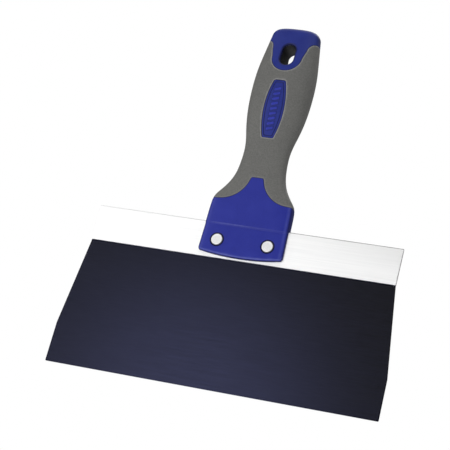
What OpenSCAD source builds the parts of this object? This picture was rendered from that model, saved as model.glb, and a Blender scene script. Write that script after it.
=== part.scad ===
// Drywall taping knife: a blued steel blade folded into an aluminium back, riveted into the
// collar of a moulded handle. Millimetres. X runs along the blade, Y through its thickness
// with the front towards -Y, and Z up the handle. The origin is the middle of the working edge.

/* [Blade] */
// Length of the working edge
blade_w = 203.2; // [152.4:0.1:304.8]
// Thickness of the spring steel
blade_t = 0.5; // [0.3:0.05:0.8]
// Height of blade that shows below the back
blade_show = 78.2; // [65:0.1:95]
// How far each side leans in between the corner and the back
blade_taper = 7.4; // [0:0.1:12]
// Height of the nearly upright part of each side
corner_h = 24; // [10:1:45]
// Radius that takes the point off each working corner
corner_r = 0.6; // [0.3:0.1:2]

/* [Back] */
// Height of the folded aluminium back
back_h = 22; // [20:0.5:26]
// Gauge of the aluminium sheet
back_gauge = 0.8; // [0.6:0.05:1]

/* [Rivets] */
// Distance between the two rivets
rivet_pitch = 31.4; // [26:0.2:36]
// Diameter of each rivet head
rivet_head_d = 7; // [6.4:0.1:8]
// Height of each rivet head
rivet_head_h = 1; // [0.8:0.1:1.4]
// Outer diameter of the rivet tube
rivet_tube_d = 4.6; // [4:0.1:5]
// Diameter of the post that is pressed into the tube
rivet_post_d = 3; // [2:0.1:3.4]

/* [Collar] */
// Thickness of the collar over the back
flap_t = 5.8; // [5:0.1:7]
// Width of the collar at its lower corners
collar_w = 52.4; // [51:0.1:54]
// How far the lower edge bows down
collar_bow = 2.3; // [1:0.1:2.6]
// Half width of the tongue just under its rounded end
tongue_half_w = 4; // [3.5:0.1:4]
// Radius of the scoop on each side of the tongue
scoop_r = 18; // [17:0.1:19]

/* [Handle] */
// Height of the handle's end above the working edge
handle_top = 228; // [226:1:234]
// Width of the core as a share of the handle's width
core_share_w = 0.66; // [0.55:0.01:0.68]
// Thickness of the core as a share of the handle's thickness
core_share_t = 0.68; // [0.55:0.01:0.7]

/* [Hang hole] */
// Width of the slot
hole_w = 8.3; // [7:0.1:9]
// Length of the slot along the handle
hole_l = 14.2; // [12:0.1:15]
// Wall of the core round the slot
hole_wall = 2.2; // [1.6:0.1:2.4]

/* [Badge] */
// Length of the blue badge in each face of the grip
badge_l = 36.4; // [30:0.2:38]
// Width of the badge at its middle
badge_w = 12.6; // [10:0.1:13]
// Width of the badge at its ends
badge_end_w = 6.8; // [6:0.1:8]
// How far the badge lies below the grip's face
badge_inset = 0.3; // [0.1:0.1:0.6]

/* [Hidden] */
$fn = 64;

blue = [0.19, 0.22, 0.55];
grey = [0.42, 0.42, 0.4];
dark = [0.16, 0.16, 0.17];

// Blade and back
back_z = blade_show;
back_top = back_z + back_h;
back_t = blade_t + 2 * back_gauge;
blade_hold = 1.6;
blade_top = back_top - blade_hold;
back_half_w = blade_w / 2 - blade_taper;
corner_lean = 0.3;

// Collar
flap_top = back_z + 19.8;
flap_z = back_z + 0.8;
flap_corner_r = 1.6;
collar_bottom_half_w = collar_w / 2;
body_z = back_z + 21;
scoop_x = 21.6;
tongue_top = back_z + 51;
tongue_corner_r = 1.1;
shoulder_z = back_z + 35.9;

// Rivets
rivet_z = back_z + 10.5;
recess_d = rivet_head_d + 1;
recess_h = 0.5;
seat_y = flap_t / 2 - recess_h;
rivet_x = rivet_pitch / 2;

// Handle: half width, half thickness and squareness along it, each as [z, value, slope]
width_line = [
    [flap_top, 25.7, -0.03],
    [back_z + 33.8, 25.15, -0.08],
    [back_z + 39.8, 22.9, -0.8],
    [back_z + 45.8, 18.6, -0.6],
    [back_z + 54.8, 15.25, -0.2],
    [back_z + 67.8, 14, 0],
    [back_z + 78.8, 15.5, 0.24],
    [back_z + 90.8, 17.8, 0.13],
    [back_z + 109.8, 18.9, 0],
    [back_z + 126.8, 17.8, -0.14],
    [handle_top, 14.5, -0.15]
];
thickness_line = [
    [body_z, 3.7, 0.03],
    [tongue_top, 5.1, 0.06],
    [back_z + 76.8, 6.8, 0.09],
    [back_z + 96.8, 9.1, 0.1],
    [back_z + 110.8, 10, 0],
    [back_z + 130.8, 8.8, -0.12],
    [handle_top, 6.6, -0.1]
];
squareness_line = [
    [flap_top, 8, 0],
    [back_z + 33.8, 7, -0.15],
    [back_z + 56.8, 2.5, 0],
    [handle_top, 2.6, 0]
];
end_corner_r = 4.5;
end_edge_r = 3;
ring_points = 48;
skin_z = [
    flap_top,
    body_z,
    for (z = [102:4:110]) back_z - 78.2 + z,
    for (z = [112:1:120]) back_z - 78.2 + z,
    for (z = [122:4:218]) back_z - 78.2 + z,
    handle_top - end_corner_r - 2,
    for (a = [0:15:90]) handle_top - end_corner_r * (1 - sin(a))
];
top = len(skin_z) - 1;

// Core, hang hole and end cap
core_z = back_top + 3.8;
core_top = handle_top - 7;
core_step = 4;
hole_z = handle_top - 19;
hole_reach = (hole_l - hole_w) / 2;
boss_half_t = 6.9;
cap_u_r = 9.35;
cap_u_z = handle_top - 21;
cap_arm_z = handle_top - 15;
cap_arm_x = 17;
cap_arm_r = 6.2;

// Badge
badge_z = back_z + 94.6;
badge_sag = (badge_w - badge_end_w) / 2;
badge_arc_r = (pow(badge_l / 2, 2) + pow(badge_sag, 2)) / (2 * badge_sag);
badge_peg_d = 4;
badge_peg_l = 3;
badge_peg_root = 0.6;
badge_peg_gap = 24;
far = 60;

// A smooth curve through [z, value, slope] stations
function hermite(t, span, p, q) =
    (2 * pow(t, 3) - 3 * pow(t, 2) + 1) * p[1]
    + (pow(t, 3) - 2 * pow(t, 2) + t) * span * p[2]
    + (3 * pow(t, 2) - 2 * pow(t, 3)) * q[1]
    + (pow(t, 3) - pow(t, 2)) * span * q[2];

function along(z, line, i = 0) =
    z <= line[0][0] ? line[0][1] :
    i > len(line) - 2 ? line[len(line) - 1][1] :
    z <= line[i + 1][0] ?
        hermite((z - line[i][0]) / (line[i + 1][0] - line[i][0]),
                line[i + 1][0] - line[i][0], line[i], line[i + 1]) :
    along(z, line, i + 1);

// How much a rounded end of radius r takes off at height z
function end_loss(z, r) =
    let(up = max(0, z - (handle_top - r)))
    r - sqrt(max(0, r * r - up * up));

function half_w(z) = along(z, width_line) - end_loss(z, end_corner_r);

function half_t(z) =
    z <= flap_top ? flap_t / 2 :
    along(z, thickness_line) - end_loss(z, end_edge_r);

function power(v, e) = sign(v) * pow(abs(v), e);

// One oval ring of the handle, square at the collar and round at the grip
function ring(z, inset) =
    let(e = 2 / along(z, squareness_line), w = half_w(z), t = half_t(z) - inset)
    [for (i = [0:ring_points - 1])
        let(a = i * 360 / ring_points)
        [w * power(cos(a), e), t * power(sin(a), e), z]];

// The handle's outer form between two of its rings
module skin(first, last, inset = 0) {
    rings = [for (k = [first:last]) ring(skin_z[k], inset)];
    n = ring_points;
    count = last - first;
    points = [for (r = rings) each r];
    sides = [
        for (k = [0:count - 1], i = [0:n - 1])
            let(j = (i + 1) % n)
            each [
                [k * n + i, (k + 1) * n + i, (k + 1) * n + j],
                [k * n + i, (k + 1) * n + j, k * n + j]
            ]
    ];
    bottom_face = [for (i = [0:n - 1]) i];
    top_face = [for (i = [n - 1:-1:0]) count * n + i];
    polyhedron(points, concat(sides, [bottom_face, top_face]), convexity = 6);
}

// An outline drawn in X and Z, run through the thickness from y0 to y1
module through(y0, y1) {
    translate([0, y1, 0])
        rotate([90, 0, 0])
            linear_extrude(y1 - y0, convexity = 6)
                children();
}

module blade_outline() {
    low = blade_w / 2;
    difference() {
        polygon([
            [-low, 0], [low, 0], [low - corner_lean, corner_h], [back_half_w, back_z],
            [back_half_w, blade_top], [-back_half_w, blade_top], [-back_half_w, back_z],
            [-low + corner_lean, corner_h]
        ]);
        for (s = [-1, 1])
            translate([s * (low - corner_r), corner_r])
                difference() {
                    translate([s * corner_r, -corner_r])
                        square(2 * corner_r, center = true);
                    circle(corner_r);
                }
    }
}

module tongue_region() {
    z0 = flap_top - 2;
    shoulder = tongue_top - tongue_corner_r;
    difference() {
        translate([-far / 2, z0])
            square([far, shoulder - z0]);
        for (s = [-1, 1]) {
            translate([s * scoop_x, shoulder_z + scoop_r])
                circle(scoop_r);
            translate([s > 0 ? scoop_x : -scoop_x - far, shoulder_z])
                square([far, far]);
        }
    }
    for (s = [-1, 1])
        translate([s * (tongue_half_w - tongue_corner_r), shoulder])
            circle(tongue_corner_r);
    translate([-tongue_half_w + tongue_corner_r, shoulder - 1])
        square([2 * (tongue_half_w - tongue_corner_r), tongue_corner_r + 1]);
}

module cap_region() {
    translate([0, cap_u_z])
        circle(cap_u_r);
    difference() {
        translate([-far / 2, cap_u_z])
            square([far, far]);
        for (s = [0, 1])
            mirror([s, 0])
                union() {
                    translate([cap_arm_x, cap_arm_z])
                        circle(cap_arm_r);
                    translate([cap_arm_x, cap_u_z - 1])
                        square([far, cap_arm_z - cap_u_z + cap_arm_r + 1]);
                    polygon([
                        [cap_u_r, cap_u_z - 1], [cap_u_r, cap_u_z],
                        [cap_arm_x - cap_arm_r, cap_arm_z],
                        [cap_arm_x + 1, cap_arm_z], [cap_arm_x + 1, cap_u_z - 1]
                    ]);
                }
    }
}

module badge_outline() {
    intersection() {
        for (s = [0, 1])
            mirror([s, 0])
                intersection() {
                    translate([badge_w / 2 - badge_arc_r, badge_z])
                        circle(badge_arc_r, $fn = 160);
                    translate([0, badge_z - badge_l / 2])
                        square([badge_w, badge_l]);
                }
        translate([-badge_w, badge_z - badge_l / 2])
            square([2 * badge_w, badge_l]);
    }
}

module slot_outline(grow) {
    r = hole_w / 2 + grow;
    for (s = [-1, 1])
        translate([0, hole_z + s * hole_reach])
            circle(r);
    translate([-r, hole_z - hole_reach])
        square([2 * r, 2 * hole_reach]);
}

// The bar inside the handle, thinner than the skin all round
module core_bar() {
    steps = ceil((core_top - core_z) / core_step);
    zs = [for (k = [0:steps]) core_z + (core_top - core_z) * k / steps];
    intersection() {
        through(-far / 2, far / 2)
            polygon(concat(
                [for (z = zs) [core_share_w * half_w(z), z]],
                [for (k = [steps:-1:0]) [-core_share_w * half_w(zs[k]), zs[k]]]
            ));
        translate([-far / 2, 0, 0])
            rotate([90, 0, 90])
                linear_extrude(far)
                    polygon(concat(
                        [for (z = zs) [core_share_t * half_t(z), z]],
                        [for (k = [steps:-1:0]) [-core_share_t * half_t(zs[k]), zs[k]]]
                    ));
    }
}

module core_body() {
    core_bar();
    through(-boss_half_t, boss_half_t)
        slot_outline(hole_wall);
}

module rivet_axes() {
    for (s = [-1, 1])
        translate([s * rivet_x, 0, rivet_z])
            rotate([90, 0, 0])
                children();
}

module rivet_bores() {
    rivet_axes()
        cylinder(d = rivet_tube_d, h = far, center = true);
}

// A flat head with a bevelled rim and a shallow dish, standing on z = 0
module rivet_head() {
    r = rivet_head_d / 2;
    rim = r * 0.86;
    dish = rivet_head_h - 0.12;
    rotate_extrude()
        polygon([
            [0, 0], [r, 0], [r, rivet_head_h * 0.6], [r * 0.96, rivet_head_h * 0.86],
            [rim, rivet_head_h], [rim - 0.35, rivet_head_h], [rim - 0.6, dish], [0, dish]
        ]);
}

module rivet_post(side) {
    color("silver")
        translate([side * rivet_x, -seat_y, rivet_z])
            rotate([90, 0, 0]) {
                rivet_head();
                translate([0, 0, -2 * seat_y + 0.4])
                    cylinder(d = rivet_post_d, h = 2 * seat_y - 0.4);
            }
}

module rivet_socket(side) {
    color("silver")
        translate([side * rivet_x, seat_y, rivet_z])
            rotate([-90, 0, 0])
                difference() {
                    union() {
                        rivet_head();
                        translate([0, 0, -2 * seat_y])
                            cylinder(d = rivet_tube_d, h = 2 * seat_y);
                    }
                    translate([0, 0, -2 * seat_y - 1])
                        cylinder(d = rivet_post_d, h = 2 * seat_y + 1);
                }
}

// Tempered blue steel sheet with two rivet holes near its top
module blade() {
    color([0.13, 0.14, 0.2])
        difference() {
            through(-blade_t / 2, blade_t / 2)
                blade_outline();
            rivet_bores();
        }
}

// Section of the back: a sheet folded over the top of the blade
module back_section(inner) {
    t = inner ? blade_t : back_t;
    fold = back_top - back_t / 2;
    translate([-t / 2, back_z - (inner ? 1 : 0)])
        square([t, fold - back_z + (inner ? 1 : 0)]);
    translate([0, fold])
        circle(d = t, $fn = 32);
}

module back_run(half_w, inner) {
    translate([-half_w, 0, 0])
        rotate([90, 0, 90])
            linear_extrude(2 * half_w)
                back_section(inner);
}

// Folded aluminium that grips the blade's top edge over its whole length
module back_channel() {
    color([0.86, 0.86, 0.87])
        difference() {
            back_run(back_half_w, false);
            back_run(back_half_w + 1, true);
            rivet_bores();
        }
}

module flap_outline() {
    bow_r = (pow(collar_bottom_half_w, 2) + pow(collar_bow, 2)) / (2 * collar_bow);
    upper = half_w(flap_top);
    r = flap_corner_r;
    low = flap_z + collar_bow;
    intersection() {
        translate([0, flap_z + bow_r])
            circle(bow_r, $fn = 200);
        union() {
            polygon([
                [-upper, flap_top], [-collar_bottom_half_w, low + r],
                [collar_bottom_half_w, low + r], [upper, flap_top]
            ]);
            translate([-collar_bottom_half_w + r, flap_z - 1])
                square([2 * (collar_bottom_half_w - r), low + r - flap_z + 1.5]);
            for (s = [-1, 1])
                translate([s * (collar_bottom_half_w - r), low + r - 0.4])
                    circle(r);
        }
    }
}

// Blue collar: two flaps over the back, and a body that rises into the tongue
module collar() {
    color(blue)
        difference() {
            union() {
                through(-flap_t / 2, flap_t / 2)
                    flap_outline();
                intersection() {
                    skin(0, 18);
                    through(-far / 2, far / 2)
                        tongue_region();
                }
            }
            back_run(far / 2, false);
            translate([-far / 2, -back_t / 2, back_z - 4])
                cube([far, back_t, 5]);
            core_bar();
            rivet_bores();
            for (s = [-1, 1])
                translate([0, s * (seat_y + recess_h), 0])
                    rivet_axes()
                        cylinder(d = recess_d, h = 2 * recess_h, center = true);
        }
}

// Dark bar inside the handle, with the walls of the hang hole
module handle_core() {
    color(dark)
        difference() {
            core_body();
            through(-far / 2, far / 2)
                slot_outline(0);
            badge_pegs(0);
        }
}

// Grey soft grip, moulded over the core with windows for the blue parts
module soft_grip() {
    color(grey)
        difference() {
            skin(5, top - 7);
            through(-far / 2, far / 2)
                tongue_region();
            through(-far / 2, far / 2)
                cap_region();
            through(-far / 2, far / 2)
                badge_outline();
            core_bar();
        }
}

// Blue end with the mouth of the hang hole in each face
module end_cap() {
    color(blue)
        difference() {
            intersection() {
                skin(top - 14, top);
                through(-far / 2, far / 2)
                    cap_region();
            }
            core_body();
            through(-far / 2, far / 2)
                slot_outline(0);
        }
}

// Two pegs on the back of each badge, rooted in the badge and sunk into the core
module badge_pegs(side) {
    sides = side == 0 ? [-1, 1] : [side];
    for (z = [badge_z - badge_peg_gap / 2, badge_z + badge_peg_gap / 2], s = sides)
        translate([0, s * (core_share_t * half_t(z) + badge_peg_root - badge_peg_l / 2), z])
            rotate([90, 0, 0])
                cylinder(d = badge_peg_d, h = badge_peg_l, center = true);
}

module badge(side) {
    color(blue) {
        difference() {
            intersection() {
                skin(20, 38, badge_inset);
                through(side < 0 ? -far / 2 : 0, side < 0 ? 0 : far / 2)
                    badge_outline();
            }
            core_bar();
        }
        badge_pegs(side);
    }
}

blade();
back_channel();
collar();
handle_core();
soft_grip();
end_cap();
badge(-1);  // front_badge
badge(1);  // rear_badge
rivet_post(-1);  // left_rivet_post
rivet_post(1);  // right_rivet_post
rivet_socket(-1);  // left_rivet_socket
rivet_socket(1);  // right_rivet_socket
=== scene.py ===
"""Drywall taping knife: the looks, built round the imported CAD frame.

Metres throughout, in the CAD's frame: X runs along the blade, Z up the handle, and the front
faces -Y. The handle's outer form is one smooth skin, and each moulded piece is cut from it.
"""
import math

import bpy
import numpy as np
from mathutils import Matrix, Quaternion, Vector


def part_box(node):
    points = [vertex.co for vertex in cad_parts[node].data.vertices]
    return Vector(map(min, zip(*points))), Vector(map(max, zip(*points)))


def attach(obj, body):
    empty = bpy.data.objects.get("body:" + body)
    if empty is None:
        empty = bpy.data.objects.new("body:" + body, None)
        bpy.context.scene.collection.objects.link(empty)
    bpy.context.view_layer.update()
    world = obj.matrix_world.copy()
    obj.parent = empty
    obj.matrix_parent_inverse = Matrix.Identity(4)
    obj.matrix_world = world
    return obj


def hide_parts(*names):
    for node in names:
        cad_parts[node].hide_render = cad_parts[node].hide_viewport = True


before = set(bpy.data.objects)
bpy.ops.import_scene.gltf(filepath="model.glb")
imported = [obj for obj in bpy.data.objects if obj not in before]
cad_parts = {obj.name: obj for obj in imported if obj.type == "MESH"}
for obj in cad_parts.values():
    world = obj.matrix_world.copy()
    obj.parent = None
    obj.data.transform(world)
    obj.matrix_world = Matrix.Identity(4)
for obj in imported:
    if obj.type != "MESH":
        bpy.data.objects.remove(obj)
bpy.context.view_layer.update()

MM = 0.001
BODY = "root"

# ---------------------------------------------------------------- places taken from the frame
BACK_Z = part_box("back_channel")[0].z / MM
BACK_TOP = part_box("back_channel")[1].z / MM
BACK_HALF_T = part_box("back_channel")[1].y / MM
HANDLE_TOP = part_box("end_cap")[1].z / MM
FLAP_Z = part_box("collar")[0].z / MM
FLAP_HALF_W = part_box("collar")[1].x / MM
TONGUE_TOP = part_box("collar")[1].z / MM
BADGE_LO, BADGE_HI = (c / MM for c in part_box("front_badge"))
CAP_U_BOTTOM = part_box("end_cap")[0].z / MM
BLADE_HALF_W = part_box("blade")[1].x / MM
FLAP_TOP = BACK_Z + 19.8
BODY_Z = BACK_Z + 21

# ---------------------------------------------------------------- the handle's skin, in mm
# half width, half thickness and squareness up the handle, each as (z, value, slope)
WIDTH_LINE = [
    (FLAP_TOP, 25.7, -0.03),
    (BACK_Z + 33.8, 25.15, -0.08),
    (BACK_Z + 39.8, 22.9, -0.8),
    (BACK_Z + 45.8, 18.6, -0.6),
    (BACK_Z + 54.8, 15.25, -0.2),
    (BACK_Z + 67.8, 14, 0),
    (BACK_Z + 78.8, 15.5, 0.24),
    (BACK_Z + 90.8, 17.8, 0.13),
    (BACK_Z + 109.8, 18.9, 0),
    (BACK_Z + 126.8, 17.8, -0.14),
    (HANDLE_TOP, 14.5, -0.15),
]
THICKNESS_LINE = [
    (BODY_Z, 3.7, 0.03),
    (TONGUE_TOP, 5.1, 0.06),
    (BACK_Z + 76.8, 6.8, 0.09),
    (BACK_Z + 96.8, 9.1, 0.1),
    (BACK_Z + 110.8, 10, 0),
    (BACK_Z + 130.8, 8.8, -0.12),
    (HANDLE_TOP, 6.6, -0.1),
]
SQUARENESS_LINE = [
    (FLAP_TOP, 8, 0),
    (BACK_Z + 33.8, 7, -0.15),
    (BACK_Z + 56.8, 2.5, 0),
    (HANDLE_TOP, 2.6, 0),
]
FLAP_HALF_T = 2.9
BODY_EASE = 0.9995      # keeps the smooth skin inside the CAD's faceted one
END_CORNER_R = 4.5
END_EDGE_R = 3.0


def along(z, line):
    """A smooth curve through (z, value, slope) stations, level beyond both ends."""
    z = np.asarray(z, float)
    stations = np.array(line, float)
    out = np.full(z.shape, stations[-1, 1])
    out[z <= stations[0, 0]] = stations[0, 1]
    for (z0, p, m0), (z1, q, m1) in zip(stations[:-1], stations[1:]):
        inside = (z > z0) & (z <= z1)
        t = (z[inside] - z0) / (z1 - z0)
        out[inside] = (
            (2 * t**3 - 3 * t**2 + 1) * p
            + (t**3 - 2 * t**2 + t) * (z1 - z0) * m0
            + (3 * t**2 - 2 * t**3) * q
            + (t**3 - t**2) * (z1 - z0) * m1
        )
    return out


def end_loss(z, r):
    """How far an end rounded with radius r has drawn in at height z."""
    up = np.clip(z - (HANDLE_TOP - r), 0, r)
    return r - np.sqrt(r * r - up * up)


def half_w(z):
    """Half width of the skin: the stations, the flap's spread and the rounded end."""
    below = (FLAP_TOP - np.asarray(z, float)).clip(0)
    spread = (FLAP_HALF_W - WIDTH_LINE[0][1]) / (FLAP_TOP - FLAP_Z - 4)
    return along(z, WIDTH_LINE) + below * spread - end_loss(z, END_CORNER_R)


def half_t(z):
    """Half thickness of the skin, easing from the flat flap to the body."""
    z = np.asarray(z, float)
    ramp = smooth((z - FLAP_TOP) / (BODY_Z - FLAP_TOP))
    body = BODY_EASE * along(z, THICKNESS_LINE) - end_loss(z, END_EDGE_R)
    return FLAP_HALF_T + (body - FLAP_HALF_T) * ramp


def smooth(t):
    """An eased step from 0 to 1."""
    t = np.clip(t, 0, 1)
    return t * t * (3 - 2 * t)


def onto_skin(p):
    """Moves points straight out from the handle's axis until they lie on the skin."""
    w, t, n = half_w(p[:, 2]), half_t(p[:, 2]), along(p[:, 2], SQUARENESS_LINE)
    reach = (np.abs(p[:, 0] / w) ** n + np.abs(p[:, 1] / t) ** n) ** (-1 / n)
    return np.column_stack([p[:, 0] * reach, p[:, 1] * reach, p[:, 2]])


def skin_normal(p):
    """The outward normal of the skin, from small steps across its implicit form."""
    def form(q):
        w, t, n = half_w(q[:, 2]), half_t(q[:, 2]), along(q[:, 2], SQUARENESS_LINE)
        return (np.abs(q[:, 0] / w) ** n + np.abs(q[:, 1] / t) ** n) ** (1 / n)
    step = 0.02         # mm
    grad = np.column_stack([
        form(p + step * axis) - form(p - step * axis) for axis in np.eye(3)
    ])
    return grad / np.linalg.norm(grad, axis=1, keepdims=True)


def skin_y(x, z):
    """How far the skin stands from the blade's plane above a point (x, z)."""
    n = along(z, SQUARENESS_LINE)
    inside = (1 - np.abs(x / half_w(z)) ** n).clip(0)
    return half_t(z) * inside ** (1 / n)


QUARTER = 30            # points on a quarter of a ring


def ring(z):
    """One ring of the skin, its points spread by both length and turning."""
    n = float(along(z, SQUARENESS_LINE))
    a = np.linspace(0, math.pi / 2, 1500)
    x, y = half_w(z) * np.cos(a) ** (2 / n), half_t(z) * np.sin(a) ** (2 / n)
    dx, dy = np.diff(x), np.diff(y)
    length = np.append(0, np.cumsum(np.hypot(dx, dy)))
    heading = np.unwrap(np.arctan2(dy, dx))
    turn = np.append(0, np.cumsum(np.abs(np.diff(heading, prepend=math.pi / 2))))
    share = 0.55 * length / length[-1] + 0.45 * turn / turn[-1]
    want = np.linspace(0, 1, QUARTER + 1)
    qx, qy = np.interp(want, share, x), np.interp(want, share, y)
    x = np.concatenate([qx[:-1], -qx[:0:-1], -qx[:-1], qx[:0:-1]])
    y = np.concatenate([qy[:-1], qy[:0:-1], -qy[:-1], -qy[:0:-1]])
    return np.column_stack([x, y, np.full(len(x), z)])


# ---------------------------------------------------------------- outlines in the XZ plane
def arc(cx, cz, r, start, end, count=24):
    """Points on an arc about (cx, cz), between two angles in degrees."""
    a = np.radians(np.linspace(start, end, count))
    return np.column_stack([cx + r * np.cos(a), cz + r * np.sin(a)])


def mirrored(half):
    """A closed outline from its right half, given from bottom to top."""
    half = np.asarray(half, float)
    return np.vstack([half, half[::-1] * [-1, 1]])


def distance(p, outline):
    """Signed distance in XZ from an outline, positive inside it."""
    q = p[:, [0, 2]]
    a, b = outline, np.roll(outline, -1, axis=0)
    edge = b - a
    keep = np.linalg.norm(edge, axis=1) > 1e-9
    a, b, edge = a[keep], b[keep], edge[keep]
    best = np.full(len(q), 1e9)
    inside = np.zeros(len(q), bool)
    for (ax, az), (bx, bz), (ex, ez) in zip(a, b, edge):
        t = (((q[:, 0] - ax) * ex + (q[:, 1] - az) * ez) / (ex * ex + ez * ez)).clip(0, 1)
        best = np.minimum(best, np.hypot(q[:, 0] - ax - t * ex, q[:, 1] - az - t * ez))
        spans = (az > q[:, 1]) != (bz > q[:, 1])
        if ez:
            inside ^= spans & (q[:, 0] < ax + (q[:, 1] - az) / ez * ex)
    return np.where(inside, best, -best)


SCOOP_R, SCOOP_X = 18.0, 21.6
SHOULDER_Z = BACK_Z + 35.9
TONGUE_HALF_W, TONGUE_R = 4.0, 1.1
FAR = 60.0              # beyond the handle's sides and end
tongue_low = TONGUE_TOP - TONGUE_R
scoop_end = 180 + math.degrees(math.asin((SHOULDER_Z + SCOOP_R - tongue_low) / SCOOP_R))
TONGUE = mirrored(np.vstack([
    [[FAR, 0], [FAR, SHOULDER_Z]],
    arc(SCOOP_X, SHOULDER_Z + SCOOP_R, SCOOP_R, 270, scoop_end, 40),
    arc(TONGUE_HALF_W - TONGUE_R, tongue_low, TONGUE_R, 0, 90, 10),
]))

CAP_U_R = 9.35
CAP_U_Z = HANDLE_TOP - 21
CAP_ARM_X, CAP_ARM_Z, CAP_ARM_R = 17.0, HANDLE_TOP - 15, 6.2
CAP = mirrored(np.vstack([
    arc(0, CAP_U_Z, CAP_U_R, 270, 360, 24),
    arc(CAP_ARM_X, CAP_ARM_Z, CAP_ARM_R, 180, 90, 24),
    [[FAR, CAP_ARM_Z + CAP_ARM_R], [FAR, HANDLE_TOP + FAR]],
]))

BADGE_Z = (BADGE_LO.z + BADGE_HI.z) / 2
BADGE_HALF_L = (BADGE_HI.z - BADGE_LO.z) / 2
BADGE_HALF_W, BADGE_END_HALF_W = BADGE_HI.x, 3.4
BADGE_CORNER_R = 0.9
badge_sag = BADGE_HALF_W - BADGE_END_HALF_W
badge_r = (BADGE_HALF_L**2 + badge_sag**2) / (2 * badge_sag)
badge_turn = math.degrees(math.asin((BADGE_HALF_L - BADGE_CORNER_R) / badge_r))
badge_side = arc(BADGE_HALF_W - badge_r, BADGE_Z, badge_r, -badge_turn, badge_turn, 40)
BADGE = mirrored(np.vstack([
    arc(badge_side[0, 0] - BADGE_CORNER_R, badge_side[0, 1], BADGE_CORNER_R, 270, 350, 8),
    badge_side,
    arc(badge_side[-1, 0] - BADGE_CORNER_R, badge_side[-1, 1], BADGE_CORNER_R, 10, 90, 8),
]))

HOLE_HALF_W, HOLE_HALF_L, HOLE_Z = 4.15, 7.1, HANDLE_TOP - 19
hole_reach = HOLE_HALF_L - HOLE_HALF_W
HOLE = mirrored(np.vstack([
    arc(0, HOLE_Z - hole_reach, HOLE_HALF_W, 270, 360, 24),
    arc(0, HOLE_Z + hole_reach, HOLE_HALF_W, 0, 90, 24),
]))

FLAP_BOW = 2.3
FLAP_CORNER_R = 1.6
ABOVE_ALL = 400.0
bow_r = (FLAP_HALF_W**2 + FLAP_BOW**2) / (2 * FLAP_BOW)
bow_turn = math.degrees(math.asin((FLAP_HALF_W - FLAP_CORNER_R) / bow_r))
bow_side = arc(0, FLAP_Z + bow_r, bow_r, 270, 270 + bow_turn, 30)
flap_corner = arc(bow_side[-1, 0], bow_side[-1, 1] + FLAP_CORNER_R, FLAP_CORNER_R, 280, 355, 14)
FLAP = mirrored(np.vstack([
    bow_side, flap_corner, [[FAR, flap_corner[-1, 1] + 3], [FAR, ABOVE_ALL]]
]))


# ---------------------------------------------------------------- cutting pieces from the skin
ON_LEVEL = 1e-6         # a point this close to a level counts as on it
HALVINGS = 14           # steps in the search for where an edge crosses a level


class Sheet:
    """Faces on the skin, as points in mm and lists of point numbers."""

    def __init__(self, points, faces):
        self.points = [tuple(p) for p in points]
        self.faces = faces

    def array(self):
        return np.array(self.points)

    def split(self, field, level):
        """Adds points where the field crosses a level, and splits the faces there."""
        value = field(self.array()) - level
        value[np.abs(value) < ON_LEVEL] = 0
        value = value.tolist()
        cut, kept, todo = {}, [], []
        for face in self.faces:
            v = [value[i] for i in face]
            (todo if min(v) < 0 < max(v) else kept).append(face)
        edges = set()
        for face in todo:
            for a, b in zip(face, face[1:] + face[:1]):
                if value[a] * value[b] < 0:
                    edges.add((min(a, b), max(a, b)))
        edges = sorted(edges)
        if not edges:
            return
        base = self.array()
        p, q = base[[e[0] for e in edges]], base[[e[1] for e in edges]]
        lo, hi = np.zeros(len(edges)), np.ones(len(edges))
        sign = np.sign([value[e[0]] for e in edges])
        for _ in range(HALVINGS):
            mid = (lo + hi) / 2
            m = onto_skin(p + (q - p) * mid[:, None])
            near = np.sign(field(m) - level) == sign
            lo, hi = np.where(near, mid, lo), np.where(near, hi, mid)
        made = onto_skin(p + (q - p) * ((lo + hi) / 2)[:, None])
        for e, m in zip(edges, made):
            cut[e] = len(self.points)
            self.points.append(tuple(m))
        for face in todo:
            low, high = [], []
            for a, b in zip(face, face[1:] + face[:1]):
                if value[a] <= 0:
                    low.append(a)
                if value[a] >= 0:
                    high.append(a)
                if value[a] * value[b] < 0:
                    c = cut[(min(a, b), max(a, b))]
                    low.append(c)
                    high.append(c)
            kept += [f for f in (low, high) if len(f) > 2]
        self.faces = kept

    def keep(self, field):
        """Drops every face whose middle lies where the field is negative."""
        base = self.array()
        middles = np.array([base[f].mean(0) for f in self.faces])
        good = field(middles) > 0
        self.faces = [f for f, g in zip(self.faces, good) if g]


def skin_rows(z0, z1, step):
    """Heights of the rings between two levels, closer at the crease and the rounded end."""
    crease = np.linspace(FLAP_TOP - 0.4, BODY_Z + 0.6, 12)
    end = HANDLE_TOP - END_CORNER_R * (1 - np.sin(np.radians(np.linspace(0, 90, 16))))
    rows = np.arange(z0, z1 + step / 2, step)
    rows = rows[(np.abs(rows - crease.mean()) > 1.4) & (rows < end[0] - step / 2)]
    rows = np.concatenate([rows, crease, end])
    return np.sort(rows[(rows >= z0) & (rows <= z1)])


def skin_sheet(z0, z1, step=1.0):
    """The skin between two levels, and how many rings it has."""
    rows = skin_rows(z0, z1, step)
    points = np.vstack([ring(z) for z in rows])
    n = QUARTER * 4
    faces = [
        [k * n + i, k * n + (i + 1) % n, (k + 1) * n + (i + 1) % n, (k + 1) * n + i]
        for k in range(len(rows) - 1)
        for i in range(n)
    ]
    return Sheet(points, faces), len(rows)


def rolled(d, r):
    """How far an edge of radius r has rolled inwards at distance d from the border."""
    t = np.clip(1 - d / r, 0, 1)
    return r * (1 - np.sqrt(1 - t * t))


# where the sheet is split to follow a rolled edge, as shares of the edge's radius
ROLL_STEPS = (0.04, 0.13, 0.28, 0.5, 0.75, 1.0, 1.5)
EDGE_REACH = 1.2        # how far the edge attribute reaches from a border


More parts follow.
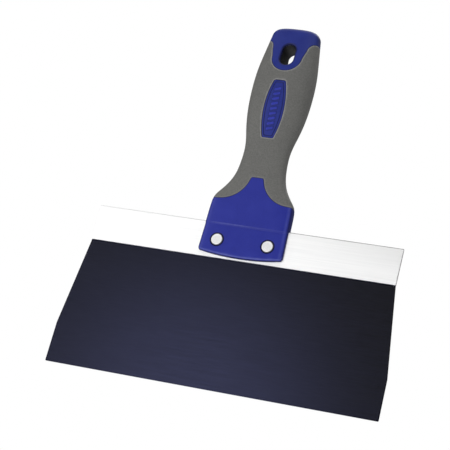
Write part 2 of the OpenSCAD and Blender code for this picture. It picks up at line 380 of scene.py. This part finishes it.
def moulded(name, sheet, borders, inner, relief=None, painted_light=None):
    """A closed shell: the sheet within its borders, rolled edges, and an inner face.

    borders is a list of (field, edge radius, facing, edge highlight): each field is positive
    inside the piece, facing limits the roll to where the skin faces front or back, and the edge
    highlight is how strongly a highlight is painted along the rolled edge.
    inner maps outer points to the inner face; relief lifts outer points along the normal;
    painted_light gives (painted highlight, painted shade) at outer points, to which the borders
    add a painted highlight along each rolled edge and painted shade right at each border.
    """
    for field, r, _, _ in borders:
        sheet.split(field, 0)
        for share in ROLL_STEPS:
            sheet.split(field, r * share)
        sheet.keep(field)
    used = sorted({i for f in sheet.faces for i in f})
    number = {old: new for new, old in enumerate(used)}
    faces = [[number[i] for i in f] for f in sheet.faces]
    base = sheet.array()[used]
    normal = skin_normal(base)
    lift = relief(base) if relief else np.zeros(len(base))
    edge = np.zeros(len(base))
    painted_highlight, painted_shade = painted_light(base) if painted_light else (np.zeros(len(base)), np.zeros(len(base)))
    for field, r, facing, edge_highlight in borders:
        d = field(base)
        lift = lift - rolled(d, r) * (np.abs(normal[:, 1]) if facing else 1)
        # nearness to a border, which the blue plastic uses for edge wear that also stands in for a
        # highlight
        edge = np.maximum(edge, 1 - d / EDGE_REACH)
        # painted highlight in a band just inside each rolled edge
        painted_highlight = np.maximum(painted_highlight, edge_highlight * (1 - smooth(np.abs(d - 1.1 * r) / (0.65 * r))))
        # painted shade right at each border, where the seam falls in shadow
        painted_shade = np.maximum(painted_shade, 1 - smooth(d / (0.6 * r + 0.1)))
    outer = base + normal * lift[:, None]
    count = len(outer)
    points = np.vstack([outer, inner(base)])
    uses = {(a, b) for f in faces for a, b in zip(f, f[1:] + f[:1])}
    border = [(a, b) for (a, b) in uses if (b, a) not in uses]
    shell = faces + [[i + count for i in reversed(f)] for f in faces]
    shell += [[b, a, a + count, b + count] for a, b in sorted(border)]
    obj = mesh_piece(name, points, shell)
    for key, value in ((EDGE, edge), (PAINTED_HIGHLIGHT, painted_highlight), (PAINTED_SHADE, painted_shade)):
        stored = obj.data.attributes.new(key, "FLOAT", "POINT")
        stored.data.foreach_set("value", np.append(value, np.zeros(count)).clip(0, 1))
    return obj


def mesh_piece(name, points, faces):
    """A smooth-shaded object from points in mm."""
    mesh = bpy.data.meshes.new(name)
    mesh.from_pydata([tuple(p * MM) for p in np.asarray(points)], [], faces)
    mesh.validate()
    mesh.polygons.foreach_set("use_smooth", [True] * len(mesh.polygons))
    obj = bpy.data.objects.new(name, mesh)
    bpy.context.scene.collection.objects.link(obj)
    return obj


def close_end(sheet, rows):
    """Closes the handle's flat end with rings that shrink to a small middle face."""
    n = QUARTER * 4
    start = (rows - 1) * n
    last = np.array(sheet.points[start:start + n])
    centre = last.mean(0)
    lower = start
    for share in (0.8, 0.55, 0.3, 0.1):
        base = len(sheet.points)
        sheet.points += [tuple(p) for p in centre + (last - centre) * share]
        sheet.faces += [
            [lower + i, lower + (i + 1) % n, base + (i + 1) % n, base + i] for i in range(n)
        ]
        lower = base
    sheet.faces.append([lower + i for i in range(n)])


# ---------------------------------------------------------------- the moulded pieces
# per-point attributes: nearness to a border, the share of painted highlight and the share of
# painted shade
EDGE, PAINTED_HIGHLIGHT, PAINTED_SHADE = "edge", "painted_highlight", "painted_shade"
SLOT_HALF_T = BACK_HALF_T + 0.01
SEAT_DEPTH = 0.5
SEAT_R = 4.0
RIVET_HEAD_R = 3.5
RIVETS = [
    tuple((lo + hi) / 2 / MM for lo, hi in zip(*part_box(f"{side}_rivet_post")))
    for side in ("left", "right")
]
TUBE_R = 2.3


def outside(outline):
    return lambda p: -distance(p, outline)


def inside(outline):
    return lambda p: distance(p, outline)


def clear_of_slot(p):
    """Distance from the slot that the folded back runs through."""
    side, up = np.abs(p[:, 1]) - SLOT_HALF_T, p[:, 2] - BACK_TOP
    return np.where(
        (side < 0) & (up < 0), np.maximum(side, up), np.hypot(side.clip(0), up.clip(0))
    )


def from_rivets(p):
    """Distance in XZ from the nearer rivet's axis."""
    return np.min([np.hypot(p[:, 0] - x, p[:, 2] - z) for x, _, z in RIVETS], axis=0)


def seat_relief(p):
    """Round seats that the rivet heads lie in, with softened rims."""
    d = from_rivets(p)
    drop = smooth((SEAT_R + 0.04 - d) / 0.1) * (SEAT_DEPTH - 0.1)
    return -drop - 0.1 * smooth((SEAT_R + 0.32 - d) / 0.3)


def collar_painted_light(p):
    """A painted highlight along the crease that fades to one side, a fainter painted highlight
    along the corners, and painted shade in the rivets' seats and along the sides."""
    # painted highlight along the crease, fading towards +X
    crease = 1 - smooth(np.abs(p[:, 2] - BODY_Z + 0.45) / 0.5)
    fade = 1 - 0.75 * smooth((p[:, 0] + 20) / 38)
    facing = smooth(1.2 - np.abs(p[:, 0]) / 25)
    across = np.abs(p[:, 0]) / half_w(p[:, 2])
    # painted highlight just inside the front corners
    corner = (1 - smooth(np.abs(across - 0.93) / 0.035)) * (0.3 + 0.7 * smooth(p[:, 0] / 10))
    painted_highlight = np.maximum(0.8 * crease * fade * facing, 0.35 * corner)
    # painted shade in the rivets' seats and on the sides
    seat = 1 - smooth((from_rivets(p) - SEAT_R - 0.2) / 0.35)
    return painted_highlight, np.maximum(seat, 0.7 * smooth((across - 0.95) / 0.04))


def collar_inner(p):
    """Flat against the folded back below, and a hollow body above it."""
    q = p.copy()
    low = p[:, 2] < BACK_TOP + 0.2
    sign = np.sign(p[:, 1])
    q[:, 0] = p[:, 0] * np.where(low, 1 - 0.05 * smooth((np.abs(p[:, 0]) - 20) / 5), 0.8)
    thin = SLOT_HALF_T + 0.04 * (np.abs(p[:, 1]) - SLOT_HALF_T)
    q[:, 1] = np.where(low, sign * thin, 0.7 * p[:, 1])
    return q


def grip_inner(p):
    """A tube about the core."""
    q = p.copy()
    q[:, :2] *= 0.72
    return q


def cap_inner(p):
    """Down to the wall of the hang hole near it, and a shell elsewhere."""
    q = p.copy()
    near = 1 - smooth(-distance(p, HOLE) / 3.5)
    q[:, 0] = p[:, 0] * (0.76 + 0.24 * near)
    q[:, 1] = np.sign(p[:, 1]) * np.minimum(np.abs(p[:, 1]) * 0.78, 6.7)
    q[:, 2] = p[:, 2] - 2.4 * smooth((p[:, 2] - HANDLE_TOP + 9) / 9)
    return q


def cap_painted_shade(p):
    """Painted shade round the mouth of the hang hole, and on the sides and the top."""
    # painted shade only; the cap has no painted highlight
    mouth = 0.75 * (1 - smooth((-distance(p, HOLE) - 0.5) / 0.8))
    sides = 0.5 * smooth((np.abs(p[:, 0]) / half_w(p[:, 2]) - 0.88) / 0.1)
    top = 0.5 * smooth((p[:, 2] - HANDLE_TOP + 1.5) / 1.3)
    return np.zeros(len(p)), np.maximum.reduce([mouth, sides, top])


BARS_EACH_WAY, BAR_PITCH = 4, 3.1
BAR_HALF_W, BAR_HALF_H, BAR_SLANT = 2.1, 0.8, 0.55


def bar_outlines():
    """A row of plain slanted bars down the middle of the badge."""
    bars = []
    for k in range(-BARS_EACH_WAY, BARS_EACH_WAY + 1):
        z = BADGE_Z + BAR_PITCH * k
        bars.append(np.array([
            [-BAR_HALF_W, z - BAR_HALF_H - BAR_SLANT],
            [BAR_HALF_W, z - BAR_HALF_H + BAR_SLANT],
            [BAR_HALF_W, z + BAR_HALF_H + BAR_SLANT],
            [-BAR_HALF_W, z + BAR_HALF_H - BAR_SLANT],
        ]))
    return bars


BARS = bar_outlines()
BADGE_INSET = 0.3
LINE_AT, LINE_HALF_W, LINE_DEPTH = 1.35, 0.35, 0.3
BAR_LIFT, BAR_SIDE = 0.29, 0.26


def from_bars(p):
    """Signed distance from the nearest bar's outline, positive on a bar."""
    return np.max([distance(p, bar) for bar in BARS], axis=0)


def badge_relief(p):
    """The bars stand up from a sunken face with a groove round it."""
    d = distance(p, BADGE)
    groove = 1 - smooth(np.abs(d - LINE_AT) / LINE_HALF_W)
    bars = smooth((from_bars(p) + BAR_SIDE / 2) / BAR_SIDE)
    return BAR_LIFT * bars - LINE_DEPTH * groove - BADGE_INSET


def badge_painted_light(p):
    """A painted highlight on the bars' faces, and painted shade in the groove and round the bars'
    feet.
    """
    # painted shade in the groove and at the bars' feet
    groove = 1 - smooth(np.abs(distance(p, BADGE) - LINE_AT) / (LINE_HALF_W + 0.1))
    d = from_bars(p)
    foot = 1 - smooth(np.abs(d + 0.25) / 0.35)
    # painted highlight on the bars' faces
    face = smooth((d + 0.1) / 0.3)
    return face, np.maximum(0.8 * groove, 0.5 * foot)


def badge_sheet(side):
    """A fine grid on the skin round the badge, on the front (-1) or the rear (1)."""
    xs = np.linspace(-BADGE_HALF_W - 0.4, BADGE_HALF_W + 0.4, 28)
    zs = np.linspace(BADGE_Z - BADGE_HALF_L - 0.5, BADGE_Z + BADGE_HALF_L + 0.5, 76)
    x, z = (a.ravel() for a in np.meshgrid(xs, zs))
    points = np.column_stack([x, side * skin_y(x, z), z])
    nx = len(xs)
    faces = []
    for k in range(len(zs) - 1):
        for i in range(nx - 1):
            a, b = k * nx + i, (k + 1) * nx + i
            quad = [a, a + 1, b + 1, b]
            faces.append(quad if side < 0 else quad[::-1])
    return Sheet(points, faces)


def badge_inner(side):
    def inner(p):
        q = p.copy()
        q[:, 1] = side * (np.abs(p[:, 1]) * 0.74)
        return q
    return inner


collar_sheet, _ = skin_sheet(FLAP_Z - 0.5, TONGUE_TOP + 0.6)
for beyond in (-0.06, -0.03, 0, 0.04, 0.12, 0.22, 0.32, 0.42, 0.52):
    collar_sheet.split(from_rivets, SEAT_R + beyond)
collar = moulded(
    "collar_shell", collar_sheet,
    [
        # each border ends with the strength of the highlight painted along its rolled edge
        (inside(FLAP), 0.9, True, 1.0),
        (inside(TONGUE), 0.25, False, 0.0),
        (clear_of_slot, 0.3, False, 0.0),
        (lambda p: from_rivets(p) - TUBE_R, 0.05, False, 0.0),
    ],
    collar_inner, seat_relief, collar_painted_light,
)

grip_sheet, _ = skin_sheet(SHOULDER_Z - 1.5, CAP_ARM_Z + CAP_ARM_R + 1)
grip = moulded(
    "grip_overmould", grip_sheet,
    [
        # each border ends with the strength of the highlight painted along its rolled edge
        (outside(TONGUE), 0.4, False, 0.35),
        (outside(CAP), 0.4, False, 1.0),
        (outside(BADGE), 0.4, False, 1.0),
    ],
    grip_inner,
)

cap_sheet, cap_rows = skin_sheet(CAP_U_BOTTOM - 1, HANDLE_TOP)
close_end(cap_sheet, cap_rows)
cap = moulded(
    "end_cap_shell", cap_sheet,
    [(inside(CAP), 0.25, False, 0.0), (outside(HOLE), 1.2, False, 0.0)],
    cap_inner, None, cap_painted_shade,
)

badges = {}
for label, side in (("front", -1), ("rear", 1)):
    sheet = badge_sheet(side)
    for level in np.array([-1, -0.6, -0.25, 0.25, 0.6, 1]) * LINE_HALF_W + LINE_AT:
        sheet.split(inside(BADGE), level)
    for level in np.array([-0.5, -0.2, 0.2, 0.5]) * BAR_SIDE:
        sheet.split(from_bars, level)
    badges[label] = moulded(
        f"{label}_badge_plate", sheet, [(inside(BADGE), 0.25, False, 0.0)],
        badge_inner(side), badge_relief, badge_painted_light,
    )

for piece, node, slot in (
    (collar, "collar", "blue_plastic"),
    (grip, "soft_grip", "grey_soft_grip"),
    (cap, "end_cap", "blue_plastic"),
    (badges["front"], "front_badge", "blue_plastic"),
    (badges["rear"], "rear_badge", "blue_plastic"),
):
    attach(piece, BODY)
    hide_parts(node)


# ---------------------------------------------------------------- materials
class Shader:
    """A material being built, with short ways to add the nodes used below."""

    def __init__(self, name):
        self.material = bpy.data.materials.new(name)
        self.material.use_nodes = True
        self.tree = self.material.node_tree
        self.surface = self.tree.nodes["Principled BSDF"]
        self.where = self.add("ShaderNodeTexCoord").outputs["Object"]

    def add(self, kind, **settings):
        node = self.tree.nodes.new(kind)
        for key, value in settings.items():
            setattr(node, key, value)
        return node

    def link(self, source, target):
        self.tree.links.new(source, target)

    def feed(self, socket, value):
        if isinstance(value, bpy.types.NodeSocket):
            self.link(value, socket)
        else:
            socket.default_value = value

    def maths(self, operation, a, b=0.0):
        node = self.add("ShaderNodeMath", operation=operation)
        self.feed(node.inputs[0], a)
        self.feed(node.inputs[1], b)
        return node.outputs[0]

    def axis(self, index):
        """One coordinate in the object's own frame, in mm."""
        return self.maths("MULTIPLY", self.axes().outputs[index], 1 / MM)

    def axes(self):
        if not hasattr(self, "split_axes"):
            self.split_axes = self.add("ShaderNodeSeparateXYZ")
            self.link(self.where, self.split_axes.inputs[0])
        return self.split_axes

    def noise(self, size, stretch=(1, 1, 1), detail=3.0, rough=0.55, shift=0.0):
        """Noise whose grains are about size mm across, longer where stretched."""
        place = self.add("ShaderNodeMapping")
        place.inputs["Location"].default_value = (shift, shift, shift)
        place.inputs["Scale"].default_value = [1 / (size * MM * s) for s in stretch]
        self.link(self.where, place.inputs["Vector"])
        node = self.add("ShaderNodeTexNoise")
        node.inputs["Scale"].default_value = 1.0
        node.inputs["Detail"].default_value = detail
        node.inputs["Roughness"].default_value = rough
        self.link(place.outputs[0], node.inputs["Vector"])
        return node.outputs["Fac"]

    def ramp(self, value, *stops):
        """Maps a value to grey or colour through (place, colour) stops."""
        node = self.add("ShaderNodeValToRGB")
        ramp = node.color_ramp
        while len(ramp.elements) < len(stops):
            ramp.elements.new(0.5)
        for element, (place, colour) in zip(ramp.elements, stops):
            element.position = place
            if not isinstance(colour, tuple):
                colour = (colour, colour, colour)
            element.color = (*colour, 1)
        self.link(value, node.inputs[0])
        return node.outputs[0]

    def span(self, value, a, b, low=0.0, high=1.0):
        """Runs from low at a to high at b, clamped."""
        node = self.add("ShaderNodeMapRange", clamp=True)
        self.link(value, node.inputs["Value"])
        for key, number in (("From Min", a), ("From Max", b), ("To Min", low), ("To Max", high)):
            node.inputs[key].default_value = number
        return node.outputs[0]

    def mix(self, share, a, b):
        """Goes from colour a to colour b as the share goes from 0 to 1."""
        node = self.add("ShaderNodeMix", data_type="RGBA")
        self.feed(node.inputs[0], share)
        for socket, value in ((node.inputs[6], a), (node.inputs[7], b)):
            self.feed(socket, (*value, 1) if isinstance(value, tuple) else value)
        return node.outputs[2]

    def attribute(self, name):
        return self.add("ShaderNodeAttribute", attribute_name=name).outputs["Fac"]

    def bump(self, height, depth, onto=None):
        """A bump of that depth in mm."""
        node = self.add("ShaderNodeBump")
        node.inputs["Strength"].default_value = 1.0
        node.inputs["Distance"].default_value = depth * MM
        self.link(height, node.inputs["Height"])
        if onto:
            self.link(onto, node.inputs["Normal"])
        return node.outputs["Normal"]

    def brushed_along_x(self):
        """Turns the shader's stretch of reflections across the brushing, which runs along X."""
        across = self.add("ShaderNodeCombineXYZ")
        across.inputs["Z"].default_value = 1.0
        self.link(across.outputs[0], self.surface.inputs["Tangent"])

    def finish(self, colour, roughness, normal=None, **constants):
        """Feeds the shader, and sets the constants on its own sockets."""
        self.feed(self.surface.inputs["Base Color"], colour)
        self.feed(self.surface.inputs["Roughness"], roughness)
        if normal:
            self.link(normal, self.surface.inputs["Normal"])
        for key, value in constants.items():
            self.surface.inputs[key.replace("_", " ")].default_value = value
        return self.material


def blue_plastic(name, low, high, highlight_colour=(0.13, 0.15, 0.43)):
    """Fine-grained plastic that goes from low to high in clouds, with painted highlights, edge
    wear that also paints some highlight near borders, and painted shade.
    """
    s = Shader(name)
    cloud = s.noise(9, detail=3)
    colour = s.ramp(cloud, (0.3, low), (0.7, high))
    grain = s.noise(0.35, detail=2)
    colour = s.mix(s.span(grain, 0.35, 0.65, 0.0, 0.35), colour, tuple(1.25 * c for c in high))
    # painted highlight: the highlight colour where the painted_highlight attribute is set, broken
    # up by noise
    highlight_share = s.maths("MULTIPLY", s.attribute(PAINTED_HIGHLIGHT),
                     s.span(s.noise(2.2, detail=4, shift=3.0), 0.3, 0.65, 0.4, 0.8))
    colour = s.mix(highlight_share, colour, highlight_colour)
    # edge wear near borders, lighter blue, which also stands in for the highlight on the rolled
    # edges
    wear_and_highlight = s.maths("MULTIPLY", s.span(s.attribute(EDGE), 0.6, 0.9, 0.0, 0.3),
                   s.span(s.noise(3, detail=4, shift=5.0), 0.5, 0.7))
    colour = s.mix(wear_and_highlight, colour, (0.05, 0.065, 0.34))
    # painted shade: near-black blue where the painted_shade attribute is set, in seams, seats and
    # grooves
    colour = s.mix(s.maths("MULTIPLY", s.attribute(PAINTED_SHADE), 0.9), colour, (0.0015, 0.002, 0.022))
    scuff = s.noise(5, stretch=(1, 1, 0.3), detail=5, shift=7.0)
    rough = s.span(scuff, 0.35, 0.7, 0.36, 0.5)
    normal = s.bump(s.noise(0.16, detail=2), 0.006)
    normal = s.bump(s.noise(14, detail=1, shift=2.0), 0.1, normal)
    return s.finish(colour, rough, normal, Specular_IOR_Level=0.2)


def grey_grip():
    """Matt rubber with grain and pits, with a painted highlight along its rims and painted shade
    in its seams.
    """
    s = Shader("grey_soft_touch")
    cloud = s.noise(16, detail=4)
    colour = s.ramp(cloud, (0.3, (0.099, 0.099, 0.094)), (0.7, (0.119, 0.119, 0.113)))
    grain = s.noise(0.9, detail=4, rough=0.7)
    colour = s.mix(s.span(grain, 0.35, 0.65, 0.0, 0.75), colour, (0.15, 0.149, 0.142))
    pits = s.noise(0.7, detail=3, rough=0.7, shift=8.0)
    colour = s.mix(s.span(pits, 0.35, 0.5, 0.5, 0.0), colour, (0.075, 0.075, 0.072))
    # painted highlight: pale grey where the painted_highlight attribute is set
    wear_and_highlight = s.maths("MULTIPLY", s.attribute(PAINTED_HIGHLIGHT),
                   s.span(s.noise(3, detail=4, shift=5.0), 0.3, 0.65, 0.5, 0.9))
    colour = s.mix(wear_and_highlight, colour, (0.36, 0.36, 0.38))
    # painted shade: near black in the seams, where the painted_shade attribute is set
    colour = s.mix(s.maths("MULTIPLY", s.attribute(PAINTED_SHADE), 0.8), colour, (0.012, 0.012, 0.02))
    rough = s.span(s.noise(7, detail=4, shift=1.0), 0.35, 0.65, 0.56, 0.7)
    normal = s.bump(grain, 0.05)
    return s.finish(colour, rough, normal, Specular_IOR_Level=0.3)


def blued_steel():
    """Streaked blue-black steel with painted shade round its rim, honed bright at the working
    edge.
    """
    s = Shader("blued_spring_steel")
    up = s.axis(2)
    across = s.axis(0)
    temper = s.noise(55, stretch=(1.5, 1, 1), detail=3)
    colour = s.ramp(temper, (0.3, (0.0095, 0.0093, 0.0098)), (0.7, (0.0108, 0.0108, 0.0118)))
    streak = s.noise(0.35, stretch=(25, 1, 1), detail=4)
    colour = s.mix(s.span(streak, 0.38, 0.62, 0.0, 0.6), colour, (0.0135, 0.0137, 0.016))
    # painted shade: near black within about a millimetre of the sides, the foot and the top edge
    # under the folded back
    side = s.maths("SUBTRACT", BLADE_HALF_W, s.maths("ABSOLUTE", across))
    rim = s.maths("MINIMUM", side, s.maths("MINIMUM", up, s.maths("SUBTRACT", BACK_Z, up)))
    colour = s.mix(s.span(rim, 0.45, 0.95, 0.85, 0.0), colour, (0.0012, 0.0012, 0.0014))
    uneven = s.span(s.noise(6, stretch=(3, 1, 1), detail=4), 0.3, 0.7, -0.04, 0.04)
    honed = s.maths("ADD", up, uneven)
    colour = s.mix(s.span(honed, 0.03, 0.08, 0.6, 0.0), colour, (0.16, 0.16, 0.17))
    rough = s.span(s.noise(0.6, stretch=(30, 1, 1), detail=3, shift=4.0), 0.3, 0.7, 0.14, 0.19)
    normal = s.bump(streak, 0.003)
    s.brushed_along_x()
    return s.finish(
        colour, rough, normal, Specular_IOR_Level=1.0, Specular_Tint=(0.18, 0.2, 0.47, 1),
        Anisotropic=0.1,
    )


def brushed_aluminium():
    """Brushed along its length, with painted shade towards the top right and along the folded top
    edge.
    """
    s = Shader("brushed_aluminium")
    streak = s.noise(0.4, stretch=(90, 1, 1), detail=4)
    colour = s.ramp(streak, (0.3, (0.91, 0.911, 0.912)), (0.7, (0.975, 0.975, 0.972)))
    blotch = s.noise(22, stretch=(2, 1, 1), detail=3)
    colour = s.mix(s.span(blotch, 0.4, 0.7, 0.0, 0.2), colour, (0.89, 0.892, 0.895))
    up, across = s.axis(2), s.axis(0)
    # painted shade: greyer towards the top right
    top_right_shade = s.maths("MULTIPLY", s.span(up, BACK_TOP - 14, BACK_TOP),
                   s.span(across, 15, 95, 0.0, 0.36))
    colour = s.mix(top_right_shade, colour, (0.7, 0.7, 0.69))
    # painted shade: near black along the rounded top of the folded edge, stronger to the right
    fold = s.maths("MULTIPLY", s.span(up, BACK_TOP - 0.75, BACK_TOP - 0.3),
                   s.span(across, -70, 60, 0.3, 0.95))
    colour = s.mix(fold, colour, (0.06, 0.06, 0.065))
    rough = s.span(s.noise(0.5, stretch=(70, 1, 1), detail=3, shift=6.0), 0.3, 0.7, 0.45, 0.58)
    normal = s.bump(streak, 0.006)
    s.brushed_along_x()
    return s.finish(colour, rough, normal, Metallic=0.75, Anisotropic=0.7)


def rivet_metal():
    """Satin metal, with painted shade round the rim of each head."""
    s = Shader("rivet_satin_metal")
    cloud = s.noise(0.5, detail=3)
    colour = s.ramp(cloud, (0.3, (0.78, 0.785, 0.79)), (0.7, (0.88, 0.88, 0.875)))
    # painted shade: a dark ring at the rim of each head
    x, _, z = RIVETS[1]
    out = s.maths("SUBTRACT", s.maths("ABSOLUTE", s.axis(0)), x)
    up = s.maths("SUBTRACT", s.axis(2), z)
    squares = s.maths("ADD", s.maths("MULTIPLY", out, out), s.maths("MULTIPLY", up, up))
    rim = s.span(s.maths("SQRT", squares), RIVET_HEAD_R - 0.4, RIVET_HEAD_R - 0.1, 0.0, 0.85)
    colour = s.mix(rim, colour, (0.05, 0.05, 0.1))
    rough = s.span(s.noise(0.9, detail=4, shift=3.0), 0.3, 0.7, 0.28, 0.45)
    normal = s.bump(s.noise(0.3, detail=2), 0.01)
    return s.finish(colour, rough, normal, Metallic=0.35)


def dark_plastic():
    """The core's dark plastic, seen inside the hang hole."""
    s = Shader("dark_core_plastic")
    cloud = s.noise(2, detail=4)
    colour = s.ramp(cloud, (0.3, (0.008, 0.008, 0.01)), (0.7, (0.014, 0.014, 0.017)))
    rough = s.span(s.noise(1.2, detail=3, shift=2.0), 0.3, 0.7, 0.45, 0.62)
    normal = s.bump(s.noise(0.25, detail=2), 0.01)
    return s.finish(colour, rough, normal, Specular_IOR_Level=0.2)


def dress(obj, material):
    """Gives an object one material."""
    obj.data.materials.clear()
    obj.data.materials.append(material)


dress(collar, blue_plastic("blue_collar_plastic", (0.0148, 0.0215, 0.222), (0.0198, 0.028, 0.255)))
# painted shade: the cap and the badges are the same blue moulding as the collar, given darker
# copies of its blue
shaded_top_plastic = blue_plastic("blue_plastic_shaded_top", (0.0132, 0.022, 0.165), (0.017, 0.028, 0.192))
dress(cap, shaded_top_plastic)
shaded_badge_plastic = blue_plastic(
    "blue_plastic_shaded_badge", (0.0142, 0.023, 0.175), (0.018, 0.029, 0.205), (0.03, 0.04, 0.4)
)
for piece in badges.values():
    dress(piece, shaded_badge_plastic)
dress(grip, grey_grip())
dress(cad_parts["blade"], blued_steel())
dress(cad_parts["back_channel"], brushed_aluminium())
dress(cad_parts["handle_core"], dark_plastic())
metal = rivet_metal()
for side in ("left", "right"):
    for kind in ("post", "socket"):
        dress(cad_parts[f"{side}_rivet_{kind}"], metal)


# ---------------------------------------------------------------- floor, light and camera
FLOOR_Z = -0.25
FLOOR_REACH = 6.0
SKY_BASE = 0.2
# each lobe: where it comes from, the cosines where it starts and is full, and its strength;
# the third is a dark card and the fourth a bright patch, both mirrored in the blade
SKY_LOBES = [
    ((0, 0, 1), 0.6, 0.97, 1.5),
    ((0, -0.95, 0.05), 0.0, 0.85, 1.01),
    ((-0.33, -0.92, 0.2), 0.72, 0.9, -1.19),
    ((-0.314, -0.837, 0.174), 0.995, 1.0, 3.3),
]


def floor_disc():
    """A plain pale floor, well below the blade."""
    a = np.linspace(0, 2 * math.pi, 64, endpoint=False)
    rim = [(FLOOR_REACH * math.cos(t), FLOOR_REACH * math.sin(t), FLOOR_Z) for t in a]
    mesh = bpy.data.meshes.new("floor")
    mesh.from_pydata(rim, [], [list(range(len(rim)))])
    obj = bpy.data.objects.new("floor", mesh)
    bpy.context.scene.collection.objects.link(obj)
    s = Shader("pale_floor")
    colour = s.ramp(s.noise(300, detail=3), (0.3, 0.86), (0.7, 0.9))
    dress(obj, s.finish(colour, 0.8))


def sky():
    """White where the camera looks past the object; a soft uneven light elsewhere."""
    world = bpy.data.worlds.new("studio")
    bpy.context.scene.world = world
    world.use_nodes = True
    tree = world.node_tree
    tree.nodes.clear()
    new, link = tree.nodes.new, tree.links.new
    out = new("ShaderNodeOutputWorld")
    pick = new("ShaderNodeMixShader")
    seen = new("ShaderNodeBackground")
    seen.inputs["Color"].default_value = (1, 1, 1, 1)
    lit = new("ShaderNodeBackground")
    path = new("ShaderNodeLightPath")
    link(path.outputs["Is Camera Ray"], pick.inputs[0])
    link(lit.outputs[0], pick.inputs[1])
    link(seen.outputs[0], pick.inputs[2])
    link(pick.outputs[0], out.inputs[0])
    coord = new("ShaderNodeTexCoord")
    total = SKY_BASE
    for way, start, end, strength in SKY_LOBES:
        aim = new("ShaderNodeVectorMath")
        aim.operation = "DOT_PRODUCT"
        aim.inputs[1].default_value = Vector(way).normalized()
        link(coord.outputs["Generated"], aim.inputs[0])
        lobe = new("ShaderNodeMapRange")
        lobe.interpolation_type = "SMOOTHSTEP"
        lobe.inputs["From Min"].default_value = start
        lobe.inputs["From Max"].default_value = end
        lobe.inputs["To Max"].default_value = strength
        link(aim.outputs["Value"], lobe.inputs["Value"])
        add = new("ShaderNodeMath")
        add.operation = "ADD"
        link(lobe.outputs["Result"], add.inputs[0])
        if isinstance(total, float):
            add.inputs[1].default_value = total
        else:
            link(total, add.inputs[1])
        total = add.outputs[0]
    link(total, lit.inputs["Strength"])


def softbox(name, place, aim, size, power):
    """A rectangular area light at a place, turned towards its aim."""
    light = bpy.data.lights.new(name, "AREA")
    light.shape = "RECTANGLE"
    light.size, light.size_y = size
    light.energy = power
    obj = bpy.data.objects.new(name, light)
    obj.location = place
    obj.rotation_euler = (Vector(aim) - Vector(place)).to_track_quat("-Z", "Y").to_euler()
    bpy.context.scene.collection.objects.link(obj)


CAMERA_AIM = Vector((-0.01414, 0, 0.09907))
CAMERA_AZIMUTH, CAMERA_ELEVATION, CAMERA_ROLL = 20.91, -17.43, 14.84
CAMERA_DISTANCE = 0.9395
CAMERA_LENS = 128.0


def photo_camera():
    """The camera, at the photo's viewing angle."""
    az, el = math.radians(CAMERA_AZIMUTH), math.radians(CAMERA_ELEVATION)
    way = Vector((math.sin(az) * math.cos(el), -math.cos(az) * math.cos(el), math.sin(el)))
    data = bpy.data.cameras.new("camera")
    data.lens = CAMERA_LENS
    data.sensor_width = 36.0
    data.clip_start, data.clip_end = 0.01, 20.0
    obj = bpy.data.objects.new("camera", data)
    obj.location = CAMERA_AIM + way * CAMERA_DISTANCE
    turn = (-way).to_track_quat("-Z", "Y") @ Quaternion((0, 0, 1), math.radians(CAMERA_ROLL))
    obj.rotation_euler = turn.to_euler()
    bpy.context.scene.collection.objects.link(obj)
    bpy.context.scene.camera = obj


floor_disc()
sky()
softbox("key", (-1.4, -1.3, 0.3), (0, 0, 0.12), (0.9, 0.9), 9)
softbox("low_front", (-0.25, -0.75, -0.12), (0, 0, 0.1), (0.4, 0.4), 1.6)
softbox("rear_fill", (0.3, 1.1, 1.9), (0, 0, 0.12), (1.2, 1.2), 14)
photo_camera()
bpy.context.scene.view_settings.view_transform = "Standard"
